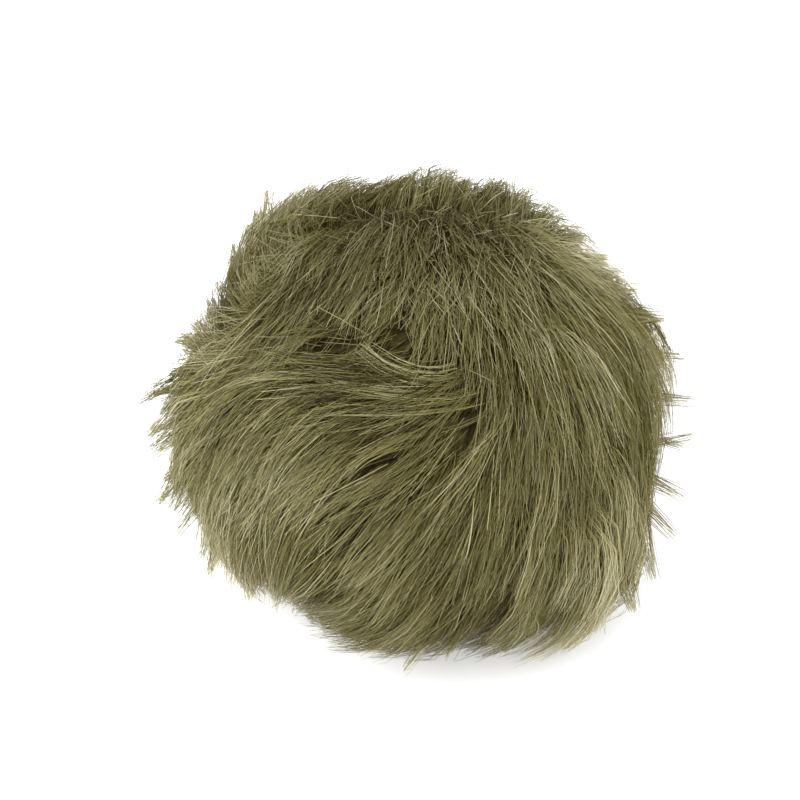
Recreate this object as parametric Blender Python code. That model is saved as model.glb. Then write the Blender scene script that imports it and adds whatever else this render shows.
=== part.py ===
"""A fur pom pom: one ball of soft locks on a round backing, resting on a small flat spot.

Metres, +Z up. The origin is the middle of the flat spot. The face, the side that the lay of the
fur is described from, looks up and forward (-Y) at FACE_SLOPE, with +X to its right.
"""

import math
import random
from collections import namedtuple

import bmesh
import bpy
from mathutils import Matrix, Vector

# Driving dimensions of the ball.
FUR_RADIUS = 0.0403  # middle to the edge of the dense fur, level with the middle
FUR_RISE = 0.0375  # middle to the top of the dense fur
MIDDLE_HEIGHT = 0.0350  # less than FUR_RISE, because the fur underneath is crushed
BACKING_RADIUS = 0.0265  # where the locks' roots are fused
FACE_SLOPE = math.radians(45)

# The backing: a ball that hangs down to its flat spot.
BALL_SUBDIVISIONS = 3
FLAT_SPOT_RADIUS = 0.0090
BARE_ANGLE = math.radians(29)  # no lock starts inside this cone, where the ball rests
ROOT_SCATTER = 0.0009  # how far a root's corner strays from an even net
ROOT_GAP = 0.0007  # bare rim round each lock's root
BACKING_DEPTH = MIDDLE_HEIGHT / math.sqrt(1.0 - (FLAT_SPOT_RADIUS / BACKING_RADIUS) ** 2)

# The locks: three-sided, wide at the root and pointed at the tip.
Ring = namedtuple("Ring", "height drift width")
LOCK_RINGS = (  # height: share of the pile; drift: metres along the lay; width: share of the root
    Ring(0.28, 0.0012, 1.00),
    Ring(0.55, 0.0040, 0.96),
    Ring(0.80, 0.0080, 0.76),
    Ring(1.00, 0.0125, 0.16),
)
STROKE = 0.0010  # the lay is followed in strokes of this length
LENGTH_SPREAD = 0.08  # locks are this share longer or shorter than the pile
TIP_SHARE = 0.5  # the share of that which shows at the edge of the fur
LOW_START = -0.45  # height on the ball, as a sine, below which locks are shorter
LOW_END = -0.90
LOW_DRIFT = 0.25  # share of the drift that the lowest locks keep
FLOOR_SAG = 0.0045  # how far the lowest tips droop towards the floor
CRUSH_START = -0.55  # height on the ball where its weight starts to turn the lay outwards
CRUSH_END = -0.92

# The lay of the fur on the face. right and up are shares of the ball's radius from the face's
# middle, and heading is the way the tips point: 0 right, 90 up, 180 left, 270 down.
Lay = namedtuple("Lay", "right up heading")
LAY_OF_FACE = (
    Lay(-0.61, 0.76, 70),  # beyond the parting: the tips stand up and back
    Lay(-0.30, 0.92, 55),
    Lay(0.05, 0.97, 75),
    Lay(0.42, 0.88, 75),
    Lay(0.70, 0.70, 15),
    Lay(-0.80, 0.52, 100),
    Lay(-0.36, 0.66, 240),  # the fall from the crown
    Lay(-0.05, 0.72, 262),
    Lay(0.40, 0.68, 285),
    Lay(0.74, 0.50, 312),
    Lay(-0.45, 0.42, 238),
    Lay(-0.07, 0.47, 262),
    Lay(0.24, 0.42, 285),
    Lay(0.60, 0.35, 297),
    Lay(0.90, 0.22, 300),
    Lay(-0.88, 0.20, 208),  # the band that sweeps across to the left
    Lay(-0.60, 0.22, 192),
    Lay(-0.32, 0.21, 176),
    Lay(-0.05, 0.16, 184),
    Lay(0.14, 0.17, 222),
    Lay(0.38, 0.14, 278),  # the stream down the right side
    Lay(0.64, -0.06, 278),
    Lay(0.94, -0.08, 270),
    Lay(0.34, -0.22, 256),
    Lay(0.68, -0.42, 266),
    Lay(0.90, -0.40, 264),
    Lay(-0.94, -0.10, 230),  # the fan under the band
    Lay(-0.66, -0.10, 232),
    Lay(-0.36, -0.08, 212),
    Lay(-0.05, -0.07, 195),
    Lay(-0.84, -0.46, 252),
    Lay(-0.48, -0.36, 230),
    Lay(-0.10, -0.38, 225),
    Lay(-0.42, -0.66, 238),
    Lay(0.05, -0.66, 230),
    Lay(0.42, -0.72, 240),
    Lay(0.72, -0.66, 255),
    Lay(-0.28, -0.90, 200),
    Lay(0.15, -0.95, 208),
)
LAY_REACH = 0.30  # angle over which one row of the table fades out, in radians
BACK_WEIGHT = 0.02  # pull of the plain fall that covers the back

# How much fuller or leaner than an ellipsoid the ball is round the face's rim. bearing is in
# degrees round the face, 0 right and 90 up, and more is in millimetres.
Rim = namedtuple("Rim", "bearing more")
RIM_OF_FACE = (
    Rim(0, 0.0),
    Rim(15, 2.4),
    Rim(30, 2.6),
    Rim(45, 0.4),
    Rim(60, 2.8),
    Rim(75, 1.9),
    Rim(90, 1.1),
    Rim(105, 0.5),
    Rim(120, 3.5),
    Rim(135, 3.1),
    Rim(150, -1.6),
    Rim(165, 3.6),
    Rim(180, 3.2),
    Rim(195, 2.2),
    Rim(210, 1.8),
    Rim(225, -1.1),
    Rim(240, -3.5),
    Rim(255, -2.7),
    Rim(270, -0.5),
    Rim(285, -1.6),
    Rim(300, 1.6),
    Rim(315, 5.6),
    Rim(330, 6.2),
    Rim(345, 0.6),
)
RIM_FADE = 0.60  # how far towards the face's middle that goes, as a share of the radius
REST_START = 0.74  # depth on the ball where its leaner parts start to fill out and rest on the floor
REST_END = 0.90

FUR_COLOUR = (0.115, 0.100, 0.045, 1.0)
FUR_ROUGHNESS = 0.75
SEED = 5
HAIRLINE = 1e-6

MIDDLE = Vector((0.0, 0.0, MIDDLE_HEIGHT))
FACE_RIGHT = Vector((1.0, 0.0, 0.0))
FACE_UP = Vector((0.0, math.sin(FACE_SLOPE), math.cos(FACE_SLOPE)))
FACE_OUT = Vector((0.0, -math.cos(FACE_SLOPE), math.sin(FACE_SLOPE)))
DOWN = Vector((0.0, 0.0, -1.0))


def smooth_step(value, start, end):
    """0 at start, 1 at end, eased between them."""
    share = min(1.0, max(0.0, (value - start) / (end - start)))
    return share * share * (3.0 - 2.0 * share)


def on_face(right, up):
    """The direction from the middle to a place on the face."""
    out = math.sqrt(max(0.0, 1.0 - right * right - up * up))
    return (right * FACE_RIGHT + up * FACE_UP + out * FACE_OUT).normalized()


def along_face(bearing):
    """The direction in the face's own plane at a bearing in degrees."""
    angle = math.radians(bearing)
    return math.cos(angle) * FACE_RIGHT + math.sin(angle) * FACE_UP


def along_ball(direction, place):
    """The part of a direction that runs along the ball's surface at a place."""
    return direction - direction.dot(place) * place


def comb_stroke(row):
    """One row of the lay as a place on the ball and the way the fur lies there."""
    place = on_face(row.right, row.up)
    return place, along_ball(along_face(row.heading), place).normalized()


COMBED = [comb_stroke(row) for row in LAY_OF_FACE]


def lay_at(place):
    """Which way the fur lies at a place: a vector along the ball, short where the fur parts."""
    pull = BACK_WEIGHT * along_ball(DOWN, place)
    weights = BACK_WEIGHT
    for spot, heading in COMBED:
        weight = math.exp(-((spot.angle(place) / LAY_REACH) ** 2))
        pull += weight * heading
        weights += weight
    pull = along_ball(pull / weights, place)
    outward = along_ball(-DOWN, place).normalized()
    return pull.lerp(outward, smooth_step(place.z, CRUSH_START, CRUSH_END))


def rim_more(place):
    """The table of the rim, read between its rows at a place's bearing."""
    bearing = math.degrees(math.atan2(place.dot(FACE_UP), place.dot(FACE_RIGHT))) % 360.0
    rows = RIM_OF_FACE + (RIM_OF_FACE[0]._replace(bearing=360),)
    for low, high in zip(rows, rows[1:]):
        if bearing <= high.bearing:
            break
    share = (bearing - low.bearing) / (high.bearing - low.bearing)
    return (low.more + (high.more - low.more) * share) / 1000.0


def fur_reach(place):
    """Distance from the middle to the edge of the dense fur."""
    flat = math.hypot(place.x, place.y) / FUR_RADIUS
    reach = 1.0 / math.hypot(flat, place.z / FUR_RISE)
    more = rim_more(place) * math.exp(-((place.dot(FACE_OUT) / RIM_FADE) ** 2))
    if more < 0.0:
        more *= 1.0 - smooth_step(-place.z, REST_START, REST_END)
    reach += more
    if place.z < 0.0:
        reach = min(reach, MIDDLE_HEIGHT / -place.z)
    return reach


def backing_reach(place):
    """Distance from the middle to the backing, which hangs down to the floor."""
    depth = BACKING_RADIUS if place.z > 0.0 else BACKING_DEPTH
    reach = 1.0 / math.hypot(math.hypot(place.x, place.y) / BACKING_RADIUS, place.z / depth)
    return min(reach, MIDDLE_HEIGHT / -place.z) if place.z < 0.0 else reach


def make_backing():
    """The ball that holds the roots, with one flat face under it."""
    bm = bmesh.new()
    bmesh.ops.create_icosphere(bm, subdivisions=BALL_SUBDIVISIONS, radius=BACKING_RADIUS)
    scatter = random.Random(SEED)
    for vert in bm.verts:
        place = vert.co.normalized()
        if place.angle(DOWN) > BARE_ANGLE:
            stray = Vector([scatter.uniform(-ROOT_SCATTER, ROOT_SCATTER) for _ in range(3)])
            place = (vert.co + along_ball(stray, place)).normalized()
        vert.co = MIDDLE + place * backing_reach(place)
        if vert.co.z < HAIRLINE:
            vert.co.z = 0.0
    flat = [face for face in bm.faces if not any(vert.co.z for vert in face.verts)]
    bmesh.ops.dissolve_faces(bm, faces=flat)
    return bm


def comb(place, distance):
    """Follows the lay for a distance, as it lies at the edge of the fur."""
    strokes = max(1, round(distance / STROKE))
    for _ in range(strokes):
        place = (place * FUR_RADIUS + lay_at(place) * distance / strokes).normalized()
    return place


def grow_lock(bm, root, chance):
    """Grows one lock out of a face of the backing, bending over along the lay.

    Each corner of the lock's end follows the lay by itself, so locks that run together grow
    narrow and never cross.
    """
    bmesh.ops.inset_individual(bm, faces=[root], thickness=ROOT_GAP, use_even_offset=True)
    low = smooth_step((root.calc_center_median() - MIDDLE).normalized().z, LOW_START, LOW_END)
    drift_share = 1.0 + (LOW_DRIFT - 1.0) * low
    length = 1.0 + chance.uniform(-LENGTH_SPREAD, LENGTH_SPREAD)
    face = root
    before = Ring(0.0, 0.0, 1.0)
    for ring in LOCK_RINGS:
        face = bmesh.ops.extrude_discrete_faces(bm, faces=[face])["faces"][0]
        verts = list(face.verts)
        step = (ring.drift - before.drift) * drift_share * length
        for vert in verts:
            place = comb((vert.co - MIDDLE).normalized(), step)
            root_reach = backing_reach(place)
            pile = fur_reach(place) * (1.0 + (length - 1.0) * TIP_SHARE) - root_reach
            vert.co = MIDDLE + place * (root_reach + pile * ring.height)
        centre = face.calc_center_median()
        taper = ring.width / before.width
        bmesh.ops.scale(bm, vec=(taper,) * 3, space=Matrix.Translation(-centre), verts=verts)
        sag = FLOOR_SAG * low * ring.height**2
        floor = min(vert.co.z for vert in verts)
        bmesh.ops.translate(bm, vec=(0.0, 0.0, max(-sag, -floor)), verts=verts)
        before = ring


def fur_material():
    material = bpy.data.materials.new("olive fur")
    material.use_nodes = True
    shader = material.node_tree.nodes["Principled BSDF"]
    shader.inputs["Base Color"].default_value = FUR_COLOUR
    shader.inputs["Roughness"].default_value = FUR_ROUGHNESS
    shader.inputs["Metallic"].default_value = 0.0
    material.diffuse_color = FUR_COLOUR
    return material


def make_pom_pom():
    bm = make_backing()
    chance = random.Random(SEED + 1)
    roots = []
    for face in bm.faces:
        spoke = (face.calc_center_median() - MIDDLE).normalized()
        if len(face.verts) == 3 and spoke.angle(DOWN) > BARE_ANGLE:
            roots.append(face)
    for root in roots:
        grow_lock(bm, root, chance)
    bmesh.ops.triangulate(bm, faces=bm.faces[:])
    mesh = bpy.data.meshes.new("pom_pom")
    bm.to_mesh(mesh)
    bm.free()
    mesh.materials.append(fur_material())
    mesh.shade_smooth()
    mesh.set_sharp_from_angle(angle=math.radians(40))
    bpy.context.scene.collection.objects.link(bpy.data.objects.new("pom_pom", mesh))
    print(f"{len(roots)} locks, {len(mesh.polygons)} triangles")


for old in list(bpy.data.objects):
    bpy.data.objects.remove(old)
make_pom_pom()
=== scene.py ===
# %% [markdown]
# # A fur pom pom
#
# The real thing is a disc of pelt gathered round on itself, so that only hair is left outside.
# Every hair is rooted near the middle, climbs out through its neighbours and then lies over, and
# the way the hairs lie, clump and cross is what the eye reads as fur. A bumpy ball with a fur
# picture on it would be cheaper, but its edge would be a clean line and its hairs could not shade
# one another. So the fur is built here as hairs: an undercoat, short under fur, long guard hair
# and strays. Over them come the needles, wisps and edge tufts that are this ball's own.

import math
from collections import namedtuple

import bmesh
import bpy
import numpy as np
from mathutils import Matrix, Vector
from mathutils.kdtree import KDTree


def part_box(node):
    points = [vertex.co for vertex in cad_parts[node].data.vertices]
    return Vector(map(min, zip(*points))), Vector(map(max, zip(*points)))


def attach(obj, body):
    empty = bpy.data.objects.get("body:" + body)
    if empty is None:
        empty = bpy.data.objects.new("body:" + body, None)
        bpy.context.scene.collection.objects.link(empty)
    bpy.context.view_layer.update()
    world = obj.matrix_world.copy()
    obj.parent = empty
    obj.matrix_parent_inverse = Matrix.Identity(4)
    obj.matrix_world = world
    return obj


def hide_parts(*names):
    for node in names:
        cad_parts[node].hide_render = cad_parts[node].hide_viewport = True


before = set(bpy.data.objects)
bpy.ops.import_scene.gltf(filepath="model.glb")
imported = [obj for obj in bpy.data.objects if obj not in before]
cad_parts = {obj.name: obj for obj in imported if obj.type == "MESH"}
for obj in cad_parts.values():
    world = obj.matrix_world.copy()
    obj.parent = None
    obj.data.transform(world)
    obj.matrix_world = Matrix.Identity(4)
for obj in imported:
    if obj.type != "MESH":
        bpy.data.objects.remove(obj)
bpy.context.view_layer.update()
low_corner, high_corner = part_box("pom_pom")
print("frame box, mm:", [round(1000.0 * side, 1) for side in high_corner - low_corner])

# %% [markdown]
# ## The measures of the ball
#
# The ball is fixed first: a middle, a radius sideways and a smaller one upwards, because fur
# settles under its own weight. The face is the side that looks up and forward. Its own three
# directions make it easy to say where on the face something is, so every later table uses them.

# %% Measures and the face
MIDDLE = np.array((0.0, 0.0, 0.0350))
FUR_RADIUS = 0.0403
FUR_RISE = 0.0375
FACE_SLOPE = math.radians(45)
FACE_RIGHT = np.array((1.0, 0.0, 0.0))
FACE_UP = np.array((0.0, math.sin(FACE_SLOPE), math.cos(FACE_SLOPE)))
FACE_OUT = np.array((0.0, -math.cos(FACE_SLOPE), math.sin(FACE_SLOPE)))
DOWN = np.array((0.0, 0.0, -1.0))
TINY = 1e-9  # keeps the division in unit() finite
FLOOR = -MIDDLE[2] + 0.0003  # the lowest that a hair's centre line goes, from the middle
print("dense fur, mm:", 2000.0 * FUR_RADIUS, "wide,", 1000.0 * (MIDDLE[2] + FUR_RISE), "high")


def sizes_of(vectors):
    return np.linalg.norm(vectors, axis=-1)


def unit(vectors):
    return vectors / np.maximum(sizes_of(vectors)[..., None], TINY)


def along_ball(directions, places):
    """The part of each direction that runs along the ball at its place."""
    return directions - np.sum(directions * places, axis=-1, keepdims=True) * places


def along_face(bearing):
    angle = math.radians(bearing)
    return math.cos(angle) * FACE_RIGHT + math.sin(angle) * FACE_UP


def smooth_step(values, start, end):
    share = np.clip((values - start) / (end - start), 0.0, 1.0)
    return share * share * (3.0 - 2.0 * share)


# %% [markdown]
# ## Reading the picture
#
# Places are given in dots of the picture, and the eye is so near that what comes towards it looks
# larger. So a dot is followed along its line of sight to where that line meets the fur.

# %% Dots and sight lines
PICTURE_DOTS = 800
MIDDLE_DOT = (418, 418)  # where the ball's middle is in the picture
MILLIMETRES_A_DOT = 0.1625
DOT = MILLIMETRES_A_DOT / 1000.0
LENS = 85.0
SENSOR = 36.0
EYE_AWAY = PICTURE_DOTS * DOT * LENS / SENSOR
HALF_DOTS = PICTURE_DOTS / 2
AIM = (HALF_DOTS - MIDDLE_DOT[0]) * DOT * FACE_RIGHT + (MIDDLE_DOT[1] - HALF_DOTS) * DOT * FACE_UP
EYE = AIM + EYE_AWAY * FACE_OUT  # from the middle, as all places are
SEEN_RADIUS = 0.0385  # middle to the fur that is seen, near enough for reading places


def spots_of(across, down):
    """The places on the ball, as directions from the middle, seen at dots of the picture."""
    across, down = np.asarray(across, float)[..., None], np.asarray(down, float)[..., None]
    beside = (across - HALF_DOTS) * DOT * FACE_RIGHT + (HALF_DOTS - down) * DOT * FACE_UP
    sight = beside - EYE_AWAY * FACE_OUT
    square = np.sum(sight * sight, axis=-1, keepdims=True)
    toward = np.sum(sight * EYE, axis=-1, keepdims=True)
    under_root = toward**2 - square * (np.dot(EYE, EYE) - SEEN_RADIUS**2)
    share = (-toward - np.sqrt(np.maximum(under_root, 0.0))) / square
    return unit(EYE + share * sight)


def dots_of(points):
    """Where points from the middle are in the picture, in dots, and how far in front they lie."""
    front = points @ FACE_OUT
    nearer = EYE_AWAY / (EYE_AWAY - front)
    across = HALF_DOTS + ((points - AIM) @ FACE_RIGHT) / DOT * nearer
    down = HALF_DOTS - ((points - AIM) @ FACE_UP) / DOT * nearer
    return across, down, front


# %% [markdown]
# ## How the fur lies
#
# A pelt has a lay, like grass after wind. On this ball the hairs part near the top, fall down the
# face, sweep across it to the left in a band and run down the right side. A picture could hold
# such a flow, but a short table of strokes is easier to read and to change: each row says where on
# the face the stroke is and which way the tips point there. Between rows the nearest strokes are
# blended.

# %% The lay
Stroke = namedtuple("Stroke", "across down heading")
STROKES_SEEN = [Stroke(*row) for row in (
    # beyond the parting: the tips stand up and back
    (188, 262, 115), (245, 200, 72), (320, 170, 56), (400, 155, 48), (450, 153, 70),
    (520, 165, 72), (585, 198, 36), (632, 245, 8), (165, 320, 130), (232, 255, 80),
    (212, 302, 122), (262, 225, 74), (250, 258, 72), (236, 285, 92), (222, 318, 114),
    (196, 345, 145), (278, 275, 246), (258, 325, 243),
    # the fall from the crown
    (318, 240, 242), (350, 222, 246), (395, 215, 255), (440, 214, 270), (490, 220, 280),
    (330, 262, 248), (385, 250, 255), (430, 250, 268), (520, 245, 285), (560, 255, 305),
    (605, 285, 316), (640, 320, 310), (285, 300, 246), (330, 300, 252), (380, 300, 252),
    (430, 300, 270), (475, 300, 285), (520, 300, 290), (570, 305, 300),
    # the band that sweeps across to the left
    (200, 350, 215), (250, 348, 208), (300, 352, 180), (345, 354, 156), (385, 360, 160),
    (425, 352, 215), (450, 350, 270), (480, 350, 285), (560, 350, 293), (610, 350, 300),
    (200, 375, 216), (250, 370, 198), (300, 372, 176), (350, 374, 166), (400, 376, 174),
    (428, 380, 184), (455, 372, 212), (505, 372, 272),
    # under the band the fur fans out to the left
    (175, 400, 222), (222, 402, 252), (262, 400, 252), (302, 398, 242), (340, 400, 198),
    (400, 396, 184), (430, 396, 192), (455, 400, 202), (500, 400, 232), (525, 400, 278),
    (560, 400, 282), (595, 400, 285), (645, 400, 276), (178, 430, 240), (225, 432, 256),
    (285, 430, 248), (340, 430, 230), (400, 425, 194), (440, 425, 212), (455, 440, 246),
    (478, 428, 256), (545, 430, 268), (600, 430, 278), (184, 478, 248), (235, 478, 252),
    (295, 478, 240), (365, 475, 208), (425, 470, 225), (455, 470, 250), (500, 470, 262),
    (600, 475, 272), (190, 515, 252), (240, 520, 256), (300, 515, 240), (350, 505, 216),
    (400, 505, 230), (450, 510, 248), (545, 510, 262), (610, 510, 264), (255, 550, 250),
    (300, 550, 240), (400, 550, 232), (495, 550, 248), (590, 550, 256), (635, 560, 258),
    (350, 592, 232), (400, 592, 226), (450, 595, 228), (545, 592, 238), (615, 600, 250),
    (335, 615, 200), (375, 620, 207), (430, 625, 210), (500, 625, 228),
)]
LAY_REACH = 0.13  # angle over which one stroke fades out, in radians
WIDE_REACH = 0.45  # the same for the gentler pull that fills the gaps between strokes
WIDE_WEIGHT = 0.02
BACK_WEIGHT = 0.0015  # pull of the plain fall that covers the back
CRUSH_START = -0.80  # height on the ball where its weight starts to turn the lay outwards
CRUSH_END = -1.0
FIRM_LAY = 0.80  # where the strokes agree less than this the hairs stand up between them
EDGE_ON = 0.62  # strokes that face the eye less than this are read as standing off the ball


def read_stroke(stroke):
    """Where on the ball a stroke is, which way it runs along it, and how far it stands off."""
    spot = spots_of(stroke.across, stroke.down)
    seen = along_face(stroke.heading)
    to_eye = unit(EYE - SEEN_RADIUS * spot)
    lean = -np.dot(seen, spot) / max(np.dot(to_eye, spot), EDGE_ON)
    run = unit(seen + lean * to_eye)
    return spot, unit(along_ball(run, spot)), max(0.0, np.dot(run, spot))


READ = [read_stroke(stroke) for stroke in STROKES_SEEN]
STROKE_SPOTS, STROKE_LAYS, STROKE_STANDS = (np.array(column) for column in zip(*READ))
print("strokes read:", len(READ))

# %% Blending the strokes
PLAIN_STAND = 0.25  # how far tufts stand off where there are no strokes


def lay_at(places):
    """Which way the fur lies at each place, and how far it stands off the ball.

    The lay runs along the ball, and is short where the fur parts.
    """
    angles = np.arccos(np.clip(places @ STROKE_SPOTS.T, -1.0, 1.0))
    wide = WIDE_WEIGHT * np.exp(-((angles / WIDE_REACH) ** 2))
    weights = np.exp(-((angles / LAY_REACH) ** 2)) + wide
    pull = weights @ STROKE_LAYS + BACK_WEIGHT * along_ball(DOWN, places)
    total = weights.sum(axis=1) + BACK_WEIGHT
    stand = (weights @ STROKE_STANDS + BACK_WEIGHT * PLAIN_STAND) / total
    pull = along_ball(pull / total[:, None], places)
    pull = pull / np.maximum(sizes_of(pull)[:, None], FIRM_LAY)
    outward = unit(along_ball(-DOWN, places))
    crush = smooth_step(places[:, 2:], CRUSH_START, CRUSH_END)
    return pull * (1.0 - crush) + outward * crush, stand


# %% [markdown]
# ## How far the fur reaches
#
# The dense fur ends on a soft outline that is not quite round: fuller on the low right and on the
# left, leaner between. The table says how much is added to the plain ball at each bearing round
# the face's rim, in millimetres, and the addition fades towards the middle of the face.

# %% The outline
Rim = namedtuple("Rim", "bearing more")
RIM_OF_FACE = [Rim(*row) for row in (
    (0, -2.8), (15, -1.0), (30, 2.5), (45, 0.0), (60, 3.8),
    (75, 2.4), (90, 1.9), (105, 0.3), (120, 2.2), (135, 2.4),
    (150, -3.2), (165, -0.8), (180, -0.5), (195, -2.2), (210, -2.4),
    (219, -4.6), (230, -11.5), (241, -9.2), (255, -7.7), (270, -1.6),
    (285, -5.8), (300, -9.0), (315, 3.6), (330, 4.6), (345, -0.8),
)]
RIM_BEARINGS = np.radians([row.bearing for row in RIM_OF_FACE])
RIM_MORE = np.array([row.more for row in RIM_OF_FACE])
print("outline, mm from the plain ball:", RIM_MORE.min(), "to", RIM_MORE.max())
RIM_HEIGHTS = RIM_MORE / 1000.0
RIM_FADE = 0.60
LEAST_DEPTH = 0.05  # keeps the floor's reach finite for places above the middle
REST_START = 0.74  # depth on the ball where its leaner parts start to fill out and rest
REST_END = 0.90


def fur_reach(places):
    """Distance from the middle to the edge of the dense fur."""
    flat = np.hypot(places[:, 0], places[:, 1]) / FUR_RADIUS
    reach = 1.0 / np.hypot(flat, places[:, 2] / FUR_RISE)
    bearings = np.arctan2(places @ FACE_UP, places @ FACE_RIGHT)
    more = np.interp(bearings, RIM_BEARINGS, RIM_HEIGHTS, period=2.0 * math.pi)
    resting = smooth_step(-places[:, 2], REST_START, REST_END)
    more = np.where(more < 0.0, more * (1.0 - resting), more)
    reach = reach + more * np.exp(-((places @ FACE_OUT / RIM_FADE) ** 2))
    return np.minimum(reach, MIDDLE[2] / np.maximum(-places[:, 2], LEAST_DEPTH))


# %% [markdown]
# ## The undercoat
#
# Deep in real fur the short woolly hairs are packed so tightly that light hardly gets through. One
# lumpy closed surface does that work: it stops the eye between the guard hairs and holds their
# roots. A ball of even triangles is bent to the outline, because its poles don't pinch.

# %% Undercoat shape
COAT_SHARE = 0.865  # how far out the undercoat reaches, as a share of the fur
COAT_LUMPS = 0.0007
COAT_SUBDIVISIONS = 5
LUMP_WAVES = ((41.0, 17.0, 29.0), (-23.0, 37.0, 19.0), (13.0, -31.0, 43.0))


def coat_reach(places):
    """Distance from the middle to the undercoat."""
    lumps = sum(np.sin(places @ np.array(wave)) for wave in LUMP_WAVES) / len(LUMP_WAVES)
    return fur_reach(places) * COAT_SHARE + COAT_LUMPS * lumps


def place_mesh(name, bm):
    """Puts a bmesh into the scene as a new object, and frees it."""
    mesh = bpy.data.meshes.new(name)
    bm.to_mesh(mesh)
    bm.free()
    piece = bpy.data.objects.new(name, mesh)
    bpy.context.scene.collection.objects.link(piece)
    return piece


def make_undercoat():
    bm = bmesh.new()
    bmesh.ops.create_icosphere(bm, subdivisions=COAT_SUBDIVISIONS, radius=1.0)
    places = unit(np.array([vert.co for vert in bm.verts]))
    corners = MIDDLE + places * coat_reach(places)[:, None]
    for vert, corner in zip(bm.verts, corners):
        vert.co = corner
    piece = place_mesh("undercoat", bm)
    piece.data.shade_smooth()
    return piece


undercoat = make_undercoat()
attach(undercoat, "root")
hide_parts("pom_pom")
print("undercoat:", len(undercoat.data.polygons), "triangles")

# %% [markdown]
# ## Undercoat finish
#
# What shows of it is wool in shadow: dark olive, matt, and streaked, with painted shade of the
# depth making the olive darker still. Noise that is read from the piece's own coordinates gives the
# streaks without any seam.


# %% Undercoat colour
def add_node(tree, kind, inputs=None, **settings):
    """A node with its settings, and the values of its inputs."""
    node = tree.nodes.new(kind)
    for name, value in settings.items():
        setattr(node, name, value)
    for name, value in (inputs or {}).items():
        node.inputs[name].default_value = value
    return node


def wire(tree, *wires):
    """Joins nodes. Each wire is a node, its output, the next node and its input."""
    for start, output, end, entry in wires:
        tree.links.new(start.outputs[output], end.inputs[entry])


def add_ramp(tree, stops):
    """A colour ramp with stops of (position, colour)."""
    node = add_node(tree, "ShaderNodeValToRGB")
    elements = node.color_ramp.elements
    while len(elements) < len(stops):
        elements.new(0.5)
    for element, (position, colour) in zip(elements, stops):
        element.position = position
        element.color = (*colour, 1.0)
    return node


def plain_material(name, roughness, specular):
    material = bpy.data.materials.new(name)
    material.use_nodes = True
    shader = material.node_tree.nodes["Principled BSDF"]
    shader.inputs["Roughness"].default_value = roughness
    shader.inputs["Specular IOR Level"].default_value = specular
    return material, material.node_tree, shader


# olive wool, painted very dark as shade deep in the fur
WOOL_OLIVE_AND_SHADE = ((0.35, (0.022, 0.018, 0.003)), (0.70, (0.075, 0.064, 0.018)))
WOOL_STREAKS = {"Scale": 900.0, "Detail": 3.0}


def wool_material():
    material, tree, shader = plain_material("undercoat wool", roughness=0.9, specular=0.2)
    coordinates = add_node(tree, "ShaderNodeTexCoord")
    noise = add_node(tree, "ShaderNodeTexNoise", WOOL_STREAKS)
    ramp = add_ramp(tree, WOOL_OLIVE_AND_SHADE)
    wire(
        tree,
        (coordinates, "Object", noise, "Vector"),
        (noise, "Fac", ramp, "Fac"),
        (ramp, "Color", shader, "Base Color"),
    )
    return material


undercoat.data.materials.append(wool_material())

# %% [markdown]
# ## Combing
#
# A hair grows straight out of the skin, and bends over as it comes up among the others. So each
# one is followed from its root in short strokes: while it is deep it climbs, and near the edge of
# the fur it lies the way the lay points. A hair is springy, so each stroke only turns it part of
# the way, and the tips leave the ball a little where it curves away under them.

# %% Combing measures
STROKES = 12
ALONG = np.linspace(0.0, 1.0, STROKES + 1)  # how far along a hair each of its points is
RISE_ROOM = 0.0050  # a hair this far under the edge of the fur still climbs steeply
STEEPEST = 0.92
DIP = -0.18  # how steeply a hair that is too high comes down
TURN = 0.55  # how far each stroke turns a hair along the ball, towards the lay
BEND = 0.34  # how far each stroke bends it up or down, towards its height
ROOT_DEPTH = 0.0012  # roots start this far under the undercoat
FARTHEST = 0.0027  # no hair is led farther than this past the dense fur
FIRST_RISE = 0.90
STANDING_LENGTH = 0.46  # length of a hair that stands straight up, as a share of one that lies
FIRM_END = 0.95  # hairs have their whole length where the lay is this firm
CURL_START = 0.35  # how far along a hair its curl crosses the lay

# %% Ruffles
RUFFLE_BEHIND = -0.3  # ruffles reach this far behind the rim, as a share of the seen radius
Ruffle = namedtuple("Ruffle", "across down reach cut toss thin")
# cut: share of length lost; toss: degrees; thin: share of hairs missing
RUFFLES = [Ruffle(*row) for row in (
    # crown
    (440, 262, 72, 0.56, 22, 0.5), (345, 272, 66, 0.5, 20, 0.45), (520, 250, 58, 0.46, 16, 0.4),
    (385, 320, 45, 0.42, 15, 0.42), (290, 320, 45, 0.32, 12, 0.34), (565, 215, 45, 0.3, 12, 0.2),
    (268, 262, 42, 0.3, 14, 0.25),
    # band
    (345, 368, 60, 0.12, 8, 0.58), (435, 384, 40, 0.12, 7, 0.5),
    # fan
    (255, 420, 80, 0.1, 6, 0.58), (385, 470, 60, 0.12, 6, 0.5), (430, 545, 90, 0.06, 5, 0.32),
    # right side
    (560, 400, 90, 0.06, 4, 0.38),
)]


def near_row(row, across, down):
    """How near dots are to the place of a table's row: 1 there, and little past its reach."""
    away = np.hypot(across - row.across, down - row.down) / row.reach
    return np.exp(-(away**2))


def ruffle_at(roots):
    """The share of length lost, the toss in radians and the share of hairs missing."""
    across, down, front = dots_of(roots * SEEN_RADIUS)
    cut, toss, thin = np.zeros((3, len(roots)))
    for ruffle in RUFFLES:
        near = near_row(ruffle, across, down) * (front > RUFFLE_BEHIND * SEEN_RADIUS)
        cut = np.maximum(cut, ruffle.cut * near)
        toss = np.maximum(toss, math.radians(ruffle.toss) * near)
        thin = np.maximum(thin, ruffle.thin * near)
    return cut, toss, thin


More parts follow.
